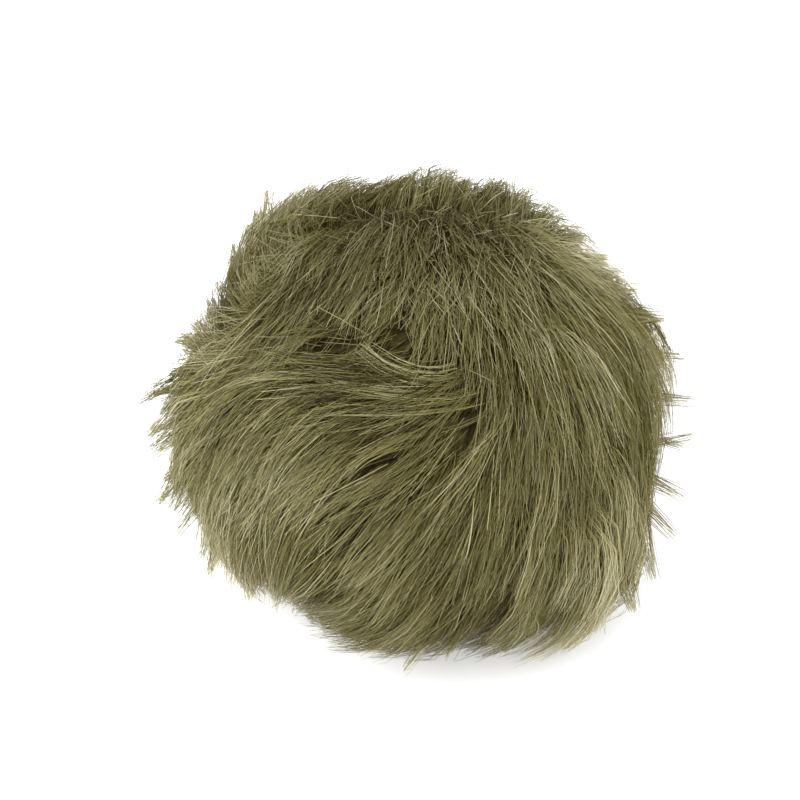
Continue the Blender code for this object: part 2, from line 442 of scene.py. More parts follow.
# %% Comb one band
def comb(roots, hairs):
    """Follows each hair from root to tip. Gives its points from the middle, stroke by stroke."""
    points = [roots * (coat_reach(roots) - ROOT_DEPTH)[:, None]]
    lay, _ = lay_at(roots)
    firm = sizes_of(lay)
    way = unit(lay + hairs["ruffle"])
    rise = np.full(len(roots), FIRST_RISE)
    cut, toss, _ = ruffle_at(roots)
    lying = smooth_step(firm, 0.0, FIRM_END)
    left = (1.0 - cut) * (STANDING_LENGTH + (1.0 - STANDING_LENGTH) * lying)
    stroke = (hairs["length"] * left / STROKES)[:, None]
    tossed = hairs["turn"] + hairs["toss"] * toss
    for number in range(STROKES):
        share = (number + 0.5) / STROKES
        distance = sizes_of(points[-1])
        places = points[-1] / distance[:, None]
        lay, stand = lay_at(places)
        swing = (tossed + hairs["curl"] * (share - CURL_START))[:, None]
        lay = np.cos(swing) * lay + np.sin(swing) * np.cross(places, lay)
        way = unit(along_ball(way, places))
        way = unit(way * (1.0 - TURN) + lay * TURN)
        upright = 1.0 - sizes_of(lay)
        edge = fur_reach(places)
        climb = np.clip((edge * hairs["level"] - distance) / RISE_ROOM, DIP, STEEPEST)
        free = np.clip((edge + FARTHEST - distance) / RISE_ROOM, 0.0, 1.0)
        climb = np.maximum(climb, (hairs["stand"] * stand + upright) * free)
        rise = rise * (1.0 - BEND) + np.minimum(climb, STEEPEST) * BEND
        heading = way * np.sqrt(1.0 - rise**2)[:, None] + places * rise[:, None]
        point = points[-1] + heading * stroke
        point[:, 2] = np.maximum(point[:, 2], FLOOR)
        points.append(point)
    return np.stack(points, axis=1)


# %% [markdown]
# ## Locks, tufts and hairs
#
# Hairs cling together: a few hairs make a tuft whose tips meet in a point, and a few tufts make a
# lock. So there are three sizes of the same thing. Each smaller one takes over the lean, the
# length and the height of the larger one whose root is nearest, adds a little of its own, and is
# drawn towards it, not at all at the root and most at the tip. High locks lie over low ones and
# shade them.

# %% Clumping measures
GOLDEN_ANGLE = math.pi * (3.0 - math.sqrt(5.0))
BARE_HEIGHT = -math.cos(math.radians(29))  # no hair starts below this, where the ball rests
ROOT_STRAY = 0.6  # how far roots stray from an even net, as a share of its spacing
Coat = namedtuple("Coat", "length length_spread level level_spread stand turn curl")
Band = namedtuple("Band", "roots hairs paths")
RUFFLE = 0.25  # a hair's own first lean, which only shows where the lay is weak
LOOSENING = 2.6  # how much of the clumping a radian of toss undoes
DRAW_POWER = 1.5  # hairs are drawn together late, towards their tips
DRAW_LEAST, DRAW_MOST = 0.6, 1.2  # how much the pull differs from hair to hair
DRAW_LIMIT = 0.95

# %% Scatter
SEED = 11
chance = np.random.default_rng(SEED)  # every run draws the same hairs


def scatter_roots(count):
    """Evenly strewn directions from the middle, each moved a little at random."""
    number = np.arange(count)
    height = 1.0 - (1.0 - BARE_HEIGHT) * (number + 0.5) / count
    turn = number * GOLDEN_ANGLE
    flat = np.sqrt(1.0 - height**2)
    places = np.stack((flat * np.cos(turn), flat * np.sin(turn), height), axis=1)
    spacing = math.sqrt(4.0 * math.pi / count)
    return unit(places + chance.normal(0.0, ROOT_STRAY * spacing, places.shape))


def nearest_of(places, others):
    """For each place, the number of the nearest of the others."""
    tree = KDTree(len(others))
    for index, other in enumerate(others):
        tree.insert(other, index)
    tree.balance()
    return np.array([tree.find(place)[1] for place in places])


def draw_hairs(count, coat, lead=None, nearest=None):
    """What sets each hair apart, on top of what it takes over from its leader."""
    own = {
        "length": chance.uniform(1.0 - coat.length_spread, 1.0 + coat.length_spread, count),
        "level": chance.uniform(-coat.level_spread, coat.level_spread, count),
        "stand": coat.stand * chance.random(count),
        "turn": np.radians(chance.normal(0.0, coat.turn, count)),
        "curl": np.radians(chance.normal(0.0, coat.curl, count)),
        "tone": chance.normal(0.0, 1.0, count),
        "toss": chance.normal(0.0, 1.0, count),
        "ruffle": chance.normal(0.0, RUFFLE, (count, 3)),
        "lead_tone": np.zeros(count),
    }
    if lead is not None:
        own["length"] = own["length"] * lead["length"][nearest]
        for name in ("level", "stand", "turn", "curl"):
            own[name] = own[name] + lead[name][nearest]
        own["lead_tone"] = (lead["tone"] + lead["lead_tone"])[nearest]
    own["length"] = own["length"] * coat.length
    own["level"] = own["level"] + coat.level
    return own


# %% Grow a band
def grow_band(count, coat, above=None, pull=0.0):
    """A set of combed hairs, drawn towards the leaders of the band above them."""
    roots = scatter_roots(count)
    if above is None:
        hairs = draw_hairs(count, coat)
        return Band(roots, hairs, comb(roots, hairs))
    nearest = nearest_of(roots, above.roots)
    hairs = draw_hairs(count, coat, above.hairs, nearest)
    paths = comb(roots, hairs)
    share = ALONG[None, :, None] ** DRAW_POWER
    loose = 1.0 - LOOSENING * ruffle_at(roots)[1]
    drawn = pull * loose * chance.uniform(DRAW_LEAST, DRAW_MOST, count)
    drawn = np.clip(drawn, 0.0, DRAW_LIMIT)[:, None, None]
    paths = paths + (above.paths[nearest] - paths) * share * drawn
    paths[:, :, 2] = np.maximum(paths[:, :, 2], FLOOR)
    return Band(roots, hairs, paths)


# %% [markdown]
# ## From lines to hairs
#
# The combed lines become real geometry in two moves. First a row of root points is extruded stroke
# by stroke, which gives one chain of edges for each hair. Then a small node setup sweeps a
# three-cornered outline along every chain, thick at the root and fine at the tip. Three corners
# are enough for a hair that is one or two dots wide in a picture. Each corner also gets a place on
# a colour chart: across the chart is the hair's own shade, and up the chart is root to tip.

# %% Sweep nodes
CHART = "OFBake"
CHART_MARGIN = 0.03
CHART_WIDTH = 0.003  # how wide one hair is on the chart
PROFILE_TURN = math.radians(20)


def sweep_nodes():
    """Node setup that turns chains of edges into closed three-sided hairs with a chart."""
    tree = bpy.data.node_groups.new("sweep hairs", "GeometryNodeTree")
    for way in ("INPUT", "OUTPUT"):
        tree.interface.new_socket("Geometry", in_out=way, socket_type="NodeSocketGeometry")
    read, keep = "GeometryNodeInputNamedAttribute", "GeometryNodeStoreNamedAttribute"
    vector = {"data_type": "FLOAT_VECTOR"}
    start = add_node(tree, "NodeGroupInput")
    to_curve = add_node(tree, "GeometryNodeMeshToCurve")
    outline = add_node(tree, "GeometryNodeCurvePrimitiveCircle", {"Resolution": 3, "Radius": 1.0})
    turn = add_node(tree, "GeometryNodeTransform", {"Rotation": (0.0, 0.0, PROFILE_TURN)})
    position = add_node(tree, "GeometryNodeInputPosition")
    keep_corner = add_node(tree, keep, {"Name": "corner_place"}, **vector)
    sweep = add_node(tree, "GeometryNodeCurveToMesh", {"Fill Caps": True})
    thickness = add_node(tree, read, {"Name": "thickness"}, data_type="FLOAT")
    spot = add_node(tree, read, {"Name": "chart_spot"}, **vector)
    corner = add_node(tree, read, {"Name": "corner_place"}, **vector)
    on_chart = {1: (CHART_WIDTH, CHART_WIDTH, 0.0)}
    spread = add_node(tree, "ShaderNodeVectorMath", on_chart, operation="MULTIPLY_ADD")
    chart = add_node(tree, keep, {"Name": CHART}, data_type="FLOAT2", domain="CORNER")
    end = add_node(tree, "NodeGroupOutput")
    wire(
        tree,
        (start, 0, to_curve, "Mesh"),
        (outline, "Curve", turn, "Geometry"),
        (turn, "Geometry", keep_corner, "Geometry"),
        (position, "Position", keep_corner, "Value"),
        (to_curve, "Curve", sweep, "Curve"),
        (keep_corner, "Geometry", sweep, "Profile Curve"),
        (thickness, "Attribute", sweep, "Scale"),
        (sweep, "Mesh", chart, "Geometry"),
        (corner, "Attribute", spread, 0),
        (spot, "Attribute", spread, 2),
        (spread, "Vector", chart, "Value"),
        (chart, "Geometry", end, 0),
    )
    return tree


SWEEP = sweep_nodes()
print("nodes in the sweep:", len(SWEEP.nodes))

# %% Hollows
Hollow = namedtuple("Hollow", "across down wide tall")
HOLLOWS = [Hollow(*row) for row in (  # gaps where the hairs part and the fur's depth shows, in dots
    (466, 430, 8, 19), (330, 345, 26, 9), (392, 340, 15, 8), (378, 462, 16, 8), (404, 350, 9, 6),
)]
HOLLOW_FROM = 3  # the first strokes of a hair are too deep to close a hollow


def open_hollows(paths):
    """Says which hairs to keep so that none lies across a hollow."""
    across, down, front = dots_of(paths[:, HOLLOW_FROM:])
    closes = np.zeros(len(paths), bool)
    for hollow in HOLLOWS:
        aside = (across - hollow.across) / hollow.wide
        below = (down - hollow.down) / hollow.tall
        closes |= np.any((np.hypot(aside, below) < 1.0) & (front > 0.0), axis=1)
    return ~closes


# %% Lines to pieces
# rings: the points kept of each path; thickness: at the root; tip: the share of it left at the tip;
# tones: how far hairs differ in shade; chart_start: how far up the chart their roots begin.
Look = namedtuple("Look", "rings thickness tip tones chart_start", defaults=(0.0,))


def grow_lines(paths):
    """A bmesh of one chain of edges for each path, extruded ring by ring."""
    corners = paths + MIDDLE
    bm = bmesh.new()
    tips = [bm.verts.new(corner) for corner in corners[:, 0]]
    for ring in range(1, paths.shape[1]):
        tips = bmesh.ops.extrude_vert_indiv(bm, verts=tips)["verts"]
        for vert, corner in zip(tips, corners[:, ring]):
            vert.co = corner
    return bm


def grow_piece(name, paths, look, radii, tones):
    """One piece of fur, swept from the paths and given its place on the chart."""
    paths = paths[:, look.rings]
    piece = place_mesh(name, grow_lines(paths))
    lines = piece.data
    thickness = lines.attributes.new("thickness", "FLOAT", "POINT")
    thickness.data.foreach_set("value", radii.T.ravel().astype(np.float32))
    up_chart = look.chart_start + (1.0 - look.chart_start) * (np.array(look.rings) / STROKES)
    room = 1.0 - 2.0 * CHART_MARGIN
    spots = np.zeros((len(look.rings), len(paths), 3), np.float32)
    spots[:, :, 0] = CHART_MARGIN + room * np.clip(tones, 0.0, 1.0)[None, :]
    spots[:, :, 1] = CHART_MARGIN + room * up_chart[:, None]
    chart_spot = lines.attributes.new("chart_spot", "FLOAT_VECTOR", "POINT")
    chart_spot.data.foreach_set("vector", spots.ravel())
    piece.modifiers.new("sweep", "NODES").node_group = SWEEP
    graph = bpy.context.evaluated_depsgraph_get()
    mesh = bpy.data.meshes.new_from_object(piece.evaluated_get(graph), depsgraph=graph)
    piece.modifiers.clear()
    piece.data = mesh
    bpy.data.meshes.remove(lines)
    mesh.name = name
    for spare in ("thickness", "chart_spot", "corner_place"):
        if spare in mesh.attributes:
            mesh.attributes.remove(mesh.attributes[spare])
    mesh.materials.clear()
    mesh.materials.append(olive_hair)
    mesh.shade_smooth()
    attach(piece, "root")
    mesh.calc_loop_triangles()
    print(f"{name}: {len(paths)} hairs, {len(mesh.loop_triangles)} triangles")


# %% [markdown]
# ## Hair colour
#
# The hairs are dyed olive, and some hairs come out browner or lighter than others. Each hair is
# also painted darker towards its root, as painted shade deep in the fur, and paler towards its
# tip, as painted glow of thin ends lit from behind. Both follow from the chart, so one material
# serves every coat.

# %% Hair material
FUR_SHADES = (  # across the chart
    (0.0, (0.018, 0.0155, 0.003)),
    (0.35, (0.126, 0.111, 0.038)),
    (0.70, (0.212, 0.192, 0.085)),
    (1.0, (0.430, 0.402, 0.255)),
)
# painted shade at the roots and painted glow at the tips, as shares of the shade up the chart
PAINTED_ROOT_SHADE_TIP_GLOW = (  # up the chart, as shares of the shade
    (0.0, (0.36, 0.33, 0.15)),
    (0.35, (0.70, 0.67, 0.50)),
    (0.70, (1.0, 1.0, 1.0)),
    (1.0, (1.28, 1.29, 1.34)),
)


def fur_material():
    """Hair whose shade runs across the chart; painted shade at the root, painted glow at the tip.
    """
    material, tree, shader = plain_material("olive hair", roughness=0.55, specular=0.10)
    chart = add_node(tree, "ShaderNodeUVMap", uv_map=CHART)
    split = add_node(tree, "ShaderNodeSeparateXYZ")
    shade = add_ramp(tree, FUR_SHADES)
    depth = add_ramp(tree, PAINTED_ROOT_SHADE_TIP_GLOW)
    mix = add_node(tree, "ShaderNodeMix", data_type="RGBA", blend_type="MULTIPLY")
    mix.inputs["Factor"].default_value = 1.0
    wire(
        tree,
        (chart, "UV", split, "Vector"),
        (split, "X", shade, "Fac"),
        (split, "Y", depth, "Fac"),
        (shade, "Color", mix, "A"),
        (depth, "Color", mix, "B"),
        (mix, "Result", shader, "Base Color"),
    )
    return material


olive_hair = fur_material()
print("material:", olive_hair.name)

# %% [markdown]
# Light and shade are also painted in by place: the ball is painted paler along its low and top
# edges, as glow of thin fur against the white, and darker where the band sweeps across, in the fan,
# the hollows and the crown, as shade. A table of places shifts the shade of whole groups of hairs.

# %% Painted light and shade by place
Shade = namedtuple("Shade", "across down reach lighter")
# each row paints light (lighter above 0) or shade (lighter below 0) into the hairs near it
PAINTED_LIGHT_PLACES = [Shade(*row) for row in (  # places in dots of the picture
    (205, 505, 62, 0.3), (225, 560, 50, 0.16), (185, 400, 50, 0.08), (248, 226, 50, 0.4),
    (300, 196, 45, 0.4), (192, 330, 34, 0.2), (178, 392, 30, 0.16), (560, 265, 40, 0.1),
    (602, 262, 45, 0.32), (655, 330, 34, 0.18), (610, 556, 60, 0.28), (597, 492, 22, -0.22),
    (604, 545, 18, -0.12), (558, 465, 34, 0.12), (520, 330, 60, -0.08), (335, 370, 62, -0.5),
    (385, 402, 40, -0.18), (466, 430, 18, -0.4), (252, 428, 60, -0.26), (315, 425, 55, -0.16),
    (215, 470, 50, -0.1), (338, 588, 28, 0.2), (298, 285, 50, -0.14), (412, 348, 50, -0.32),
    (372, 480, 34, -0.28), (400, 530, 60, -0.12), (490, 345, 35, -0.14), (455, 245, 60, -0.12),
    (370, 260, 60, -0.13), (435, 222, 24, -0.12), (490, 224, 24, -0.1), (400, 425, 40, -0.12),
    (470, 420, 30, -0.06), (565, 618, 42, 0.22), (520, 185, 48, 0.3), (565, 215, 40, 0.16),
    (440, 172, 45, 0.16),
)]
SHADE_RING = 8  # the stroke of a hair whose place counts
SHADE_BEHIND = -0.020  # shades reach this far behind the rim


def painted_light_at(paths):
    """Painted light and shade: how much lighter each hair is, as a share of the chart."""
    across, down, front = dots_of(paths[:, SHADE_RING])
    lighter = np.zeros(len(paths))
    for shade in PAINTED_LIGHT_PLACES:
        lighter += shade.lighter * near_row(shade, across, down) * (front > SHADE_BEHIND)
    return lighter


# %% [markdown]
# ## Under fur
#
# Short hairs that fill the depth between the undercoat and the guard hair, so that gaps in the
# guard hair show more fur and not a smooth wall. Like all the hairs, they taper to fine tips.

# %% Taper and coat
TAPER_START, TAPER_END = 0.2, 1.1  # where along a hair it gets finer
THICKNESS_SPREAD = 0.4


def taper(count, look):
    """Each hair's radius at each ring: even at first, then down to a fine tip."""
    finer = smooth_step(np.array(look.rings) / STROKES, TAPER_START, TAPER_END)
    shape = 1.0 - (1.0 - look.tip) * finer
    spread = chance.uniform(1.0 - THICKNESS_SPREAD, 1.0 + THICKNESS_SPREAD, count)
    return (look.thickness * spread)[:, None] * shape[None, :]


def grow_coat(name, count, coat, look, tone):
    """A piece of combed hairs without leaders, their shades spread round one tone."""
    band = grow_band(count, coat)
    radii = taper(count, look)
    tones = tone + look.tones * band.hairs["tone"] + painted_light_at(band.paths)
    grow_piece(name, band.paths, look, radii, tones)


# %% Under fur
UNDER_COUNT = 9500
UNDER = Coat(0.0110, 0.25, 0.930, 0.035, 0.0, 12.0, 10.0)
UNDER_LOOK = Look((0, 6, 12), 0.00011, 0.3, 0.16)
# low on the chart: the under fur is painted darker than the guard hair, as shade deep in the fur
UNDER_TONE = 0.08  # the middle shade, as a share of the chart

grow_coat("under_fur", UNDER_COUNT, UNDER, UNDER_LOOK, UNDER_TONE)

# %% [markdown]
# ## Guard hair
#
# The long glossy hairs that make the surface. They are combed with their locks and tufts, coloured
# one by one, and dealt into pieces by bearing, so that each mesh stays easy to handle.

# %% Guard hair
LOCK_COUNT = 520
TUFT_COUNT = 3400
GUARD_COUNT = 41000
LOCK = Coat(0.0200, 0.16, 0.918, 0.062, 0.6, 9.0, 6.0)
TUFT = Coat(1.0, 0.16, 0.0, 0.032, 0.6, 7.0, 4.0)
GUARD = Coat(1.0, 0.28, -0.006, 0.024, 0.15, 5.5, 3.0)
TUFT_PULL = 0.30
GUARD_PULL = 0.70
FACE_LOOK = Look((0, 4, 8, 12), 0.000060, 0.25, 0.17)
BACK_LOOK = FACE_LOOK._replace(thickness=0.000074)  # behind, fewer and thicker hairs are enough
BACK_KEPT = 0.72
GUARD_BEHIND = -0.15  # roots farther back than this, from the face, count as the back
FACE_PIECES, BACK_PIECES = 3, 2
GUARD_TONE = 0.38
LEAD_TONES = 0.10  # how far whole tufts and locks differ in shade
GUARD_DEPTH = 3.5  # how much lighter hairs get with height, as less light comes to the deep ones

locks = grow_band(LOCK_COUNT, LOCK)
tufts = grow_band(TUFT_COUNT, TUFT, locks, TUFT_PULL)
guard = grow_band(GUARD_COUNT, GUARD, tufts, GUARD_PULL)
tones = GUARD_TONE + FACE_LOOK.tones * guard.hairs["tone"] + LEAD_TONES * guard.hairs["lead_tone"]
tones = tones + GUARD_DEPTH * (guard.hairs["level"] - LOCK.level) + painted_light_at(guard.paths)
behind = guard.roots @ FACE_OUT < GUARD_BEHIND
bare = np.where(behind, 1.0 - BACK_KEPT, ruffle_at(guard.roots)[2])
kept = open_hollows(guard.paths) & (chance.random(GUARD_COUNT) > bare)
sides = (("face", ~behind, FACE_LOOK, FACE_PIECES), ("back", behind, BACK_LOOK, BACK_PIECES))
for side, here, look, pieces in sides:
    members = np.nonzero(kept & here)[0]
    radii = taper(GUARD_COUNT, look)
    roots = guard.roots[members]
    members = members[np.argsort(np.arctan2(roots @ FACE_UP, roots @ FACE_RIGHT))]
    for number, share in enumerate(np.array_split(members, pieces), start=1):
        name = f"guard_hair_{side}_{number}"
        grow_piece(name, guard.paths[share], look, radii[share], tones[share])

# %% [markdown]
# ## Stray hair
#
# A few long hairs escape the comb. They cross the others, catch the light and feather the outline.

# %% Strays
STRAY_COUNT = 800
STRAY = Coat(0.0175, 0.25, 0.97, 0.02, 1.3, 12.0, 14.0)
STRAY_LOOK = Look((0, 2, 4, 6, 9, 12), 0.00007, 0.2, 0.13)
STRAY_TONE = 0.56

grow_coat("stray_hair", STRAY_COUNT, STRAY, STRAY_LOOK, STRAY_TONE)

# %% [markdown]
# ## Over hair
#
# On top lie single stiff hairs, straight as needles. Where the fur is ruffled they cross one
# another, and their tips stand out light against the dark. They follow the lay too, but nothing
# clumps them, so each is a straight line with a slight bow, strewn place by place.

# %% Over hair
Over = namedtuple("Over", "across down reach hairs length toss stand tone")
# places in dots, lengths in millimetres, tosses in degrees, stand as a slope
OVER_PLACES = [Over(*row) for row in (
    # crown
    (330, 278, 32, 340, 9.5, 13, 0.08, 0.74), (395, 252, 32, 340, 8.0, 18, 0.13, 0.72),
    (460, 252, 32, 340, 8.5, 17, 0.13, 0.72), (530, 262, 34, 260, 10.0, 11, 0.08, 0.68),
    (385, 305, 32, 280, 9.5, 13, 0.08, 0.7), (455, 318, 34, 240, 10.0, 10, 0.06, 0.68),
    (275, 300, 32, 160, 10.0, 11, 0.05, 0.72),
    # the ridge above it
    (370, 226, 16, 90, 5.5, 26, 0.6, 0.64), (430, 220, 16, 100, 5.5, 26, 0.6, 0.62),
    (490, 228, 16, 90, 5.5, 26, 0.55, 0.62),
    # band
    (365, 368, 34, 130, 13.0, 10, 0.05, 0.7), (250, 368, 32, 130, 12.0, 12, 0.06, 0.72),
    # fan
    (255, 425, 48, 700, 12.0, 9, 0.06, 0.72), (320, 430, 36, 300, 12.0, 9, 0.05, 0.68),
    (420, 430, 36, 130, 11.0, 12, 0.04, 0.6),
    # right side
    (560, 370, 60, 560, 13.0, 7, 0.03, 0.64), (430, 540, 80, 600, 12.0, 8, 0.04, 0.6),
    (520, 480, 40, 200, 12.0, 7, 0.03, 0.64),
)]
OVER_LOOK = Look((0, 6, 12), 0.000060, 0.4, 0.18, 0.35)
OVER_LOWEST, OVER_HIGHEST = 0.895, 0.955  # where they start, as shares of the fur's reach
OVER_SHORTEST, OVER_LONGEST = 0.55, 1.2  # lengths, as shares of the table's
OVER_RISE, OVER_RISE_LEAST, OVER_RISE_MOST = 0.10, -0.5, 2.0
OVER_UPRIGHT = 0.6  # how much they stand up where the lay is weak
OVER_SWING_FIRM = 0.35  # a lay weaker than this swings them no further
OVER_STANDING = 0.45  # the share of its length that a standing hair lacks
OVER_BOW = 0.0005
OVER_CROSSING = 0.06  # the share of the hairs over a hollow that stay
# the over hair takes on some of the painted light and shade of its place
OVER_PAINTED_LIGHT = 0.3  # how much of the shade of their place they take on


# %% Grow the over hair
def grow_over(place):
    """The paths of the needles strewn round one place, from the middle of the ball."""
    count = place.hairs
    across = chance.normal(place.across, place.reach, count)
    down = chance.normal(place.down, place.reach, count)
    spots = spots_of(across, down)
    lay, _ = lay_at(spots)
    firm = sizes_of(lay)
    way = unit(lay)
    swing = chance.normal(0.0, place.toss, count) / np.maximum(firm, OVER_SWING_FIRM)
    swing = np.radians(swing)[:, None]
    way = np.cos(swing) * way + np.sin(swing) * np.cross(spots, way)
    rise = place.stand + OVER_RISE * chance.uniform(OVER_RISE_LEAST, OVER_RISE_MOST, count)
    rise = np.minimum(rise + OVER_UPRIGHT * (1.0 - firm), STEEPEST)[:, None]
    length = place.length / 1000.0 * chance.uniform(OVER_SHORTEST, OVER_LONGEST, (count, 1))
    length = length * (1.0 - OVER_STANDING * rise)
    level = chance.uniform(OVER_LOWEST, OVER_HIGHEST, count)
    start = spots * (fur_reach(spots) * level)[:, None]
    share = ALONG[None, :, None]
    ahead = (way * np.sqrt(1.0 - rise**2) + spots * rise) * length
    bow = np.cross(spots, way) * chance.normal(0.0, OVER_BOW, (count, 1))
    sink = spots * length**2 / (4.0 * FUR_RADIUS)
    straight = start[:, None, :] + ahead[:, None, :] * share
    return straight + bow[:, None, :] * share**2 - sink[:, None, :] * share**2


def grow_rows(rows, grow):
    """Grows every row of a table. Gives all the paths, and each hair's tone from its row."""
    bundles = [grow(row) for row in rows]
    tones = np.repeat([row.tone for row in rows], [len(bundle) for bundle in bundles])
    return np.concatenate(bundles), tones


paths, tones = grow_rows(OVER_PLACES, grow_over)
kept = open_hollows(paths) | (chance.random(len(paths)) < OVER_CROSSING)
paths, tones = paths[kept], tones[kept]
tones = tones + chance.normal(0.0, OVER_LOOK.tones, len(paths)) + OVER_PAINTED_LIGHT * painted_light_at(paths)
radii = taper(len(paths), OVER_LOOK)
grow_piece("over_hair", paths, OVER_LOOK, radii, tones)

# %% [markdown]
# ## Wisps
#
# Some locks on the face are so plain to see that they make this ball this ball: the curl under the
# crown, the arcs beside the gap, the ends of the band. Each is drawn as a row of dots from its
# roots to its tips, and its hairs follow that line over the ball and run together.

# %% Wisps
Wisp = namedtuple("Wisp", "hairs wide tone line high", defaults=(0.0,))
WISPS = [Wisp(*row) for row in (  # wide: half the width at the roots, in dots; high: farther out
    (24, 11, 0.62, ((478, 364), (442, 381), (396, 373), (354, 342))),  # curl
    (12, 9, 0.56, ((468, 358), (440, 368), (408, 364), (368, 341))),
    (20, 10, 0.6, ((474, 372), (430, 391), (368, 388), (292, 374))),
    (13, 8, 0.6, ((498, 384), (452, 398), (398, 398), (335, 384))),
    (14, 6, 0.62, ((507, 384), (508, 410), (491, 438), (458, 462))),  # arcs beside the gap
    (4, 6, 0.6, ((508, 392), (492, 410), (468, 424), (436, 434))),
    (2, 2, 0.66, ((455, 360), (478, 374), (502, 387)), 0.03),
    (16, 10, 0.58, ((502, 392), (455, 405), (400, 412), (325, 412))),  # band
    (12, 9, 0.64, ((425, 375), (380, 382), (340, 380), (308, 370))),
    (18, 7, 0.74, ((325, 371), (290, 374), (252, 379), (216, 391))),
    (12, 7, 0.68, ((318, 374), (300, 364), (275, 353), (246, 346))),
    (20, 12, 0.6, ((430, 434), (396, 441), (362, 458), (336, 488))),  # over the shadow
    (28, 20, 0.74, ((320, 385), (285, 404), (250, 438), (232, 474))),  # fan
    (28, 20, 0.7, ((350, 402), (310, 428), (278, 465), (260, 505))),
    (20, 16, 0.68, ((290, 398), (255, 425), (225, 462), (212, 500))),
    (18, 16, 0.62, ((385, 430), (345, 452), (318, 485), (300, 525))),
    (3, 5, 0.76, ((410, 459), (380, 472), (350, 486), (316, 502)), 0.03),  # single hairs
    (3, 2, 1.0, ((474, 482), (472, 508), (468, 536), (462, 562)), 0.045),
    (2, 4, 0.58, ((300, 330), (320, 336), (348, 340), (372, 341))),
    (26, 14, 0.5, ((404, 546), (374, 570), (344, 592), (314, 612))),  # low left
)]
WISP_LATE = 0.40  # the hairs of a wisp start up to this share of its line after its roots
WISP_SHORT = 0.35  # and end up to this share before its tips
WISP_SPREAD = 0.55  # how the hairs spread over its width
WISP_GATHER = 0.50
WISP_STRAY = 0.34  # how far a hair drifts aside on its way, as a share of wide
WISP_LEVEL = 0.922  # where wisps start, as a share of the fur's reach
WISP_RISE = 0.065
WISP_OWN, WISP_ARCH = 0.4, 0.6  # shares of that rise: a hair's own, and an arch along its line
WISP_ARCH_END = 0.75  # how much of a half wave the arch is
WISP_LOOK = Look((0, 3, 6, 9, 12), 0.000066, 0.3, 0.18, 0.25)


# %% Grow the wisps
def grow_wisp(wisp):
    """The paths of the hairs of one wisp, from the middle of the ball."""
    polynomial = np.polynomial.polynomial
    line = np.array(wisp.line, float)
    curve = polynomial.polyfit(np.linspace(0.0, 1.0, len(line)), line, len(line) - 1)
    hairs = (wisp.hairs, 1)
    first = WISP_LATE * chance.random(hairs)
    last = 1.0 - WISP_SHORT * chance.random(hairs) ** 2
    share = first + (last - first) * ALONG
    dots = polynomial.polyval(share, curve)
    ahead = polynomial.polyval(share, polynomial.polyder(curve))
    ahead = ahead / np.hypot(*ahead)
    side = wisp.wide * chance.normal(0.0, WISP_SPREAD, hairs) * (1.0 - WISP_GATHER * share)
    side = side + wisp.wide * WISP_STRAY * chance.normal(0.0, 1.0, hairs) * share**2
    spots = spots_of(dots[0] - ahead[1] * side, dots[1] + ahead[0] * side)
    arch = WISP_ARCH * np.sin(share * math.pi * WISP_ARCH_END)
    level = WISP_LEVEL + wisp.high + WISP_RISE * (WISP_OWN * chance.random(hairs) + arch)
    reach = fur_reach(spots.reshape(-1, 3)).reshape(level.shape)
    return spots * (reach * level)[:, :, None]


def grow_bundles(name, paths, look, tones):
    """A piece of gathered hairs, each a little off the tone of its bundle."""
    radii = taper(len(paths), look)
    tones = tones + chance.normal(0.0, look.tones, len(paths))
    grow_piece(name, paths, look, radii, tones)


paths, tones = grow_rows(WISPS, grow_wisp)
grow_bundles("wisps", paths, WISP_LOOK, tones)

# %% [markdown]
# ## Edge tufts
#
# Round the outline some tufts break away and end in single points. Where they are gives this ball
# its own outline, so they are placed one by one: the table holds the dot of the picture where each
# tip ends, the way it points, and its length. Every tuft is a bundle of hairs that leaves the fur
# side by side and runs together towards the tip.

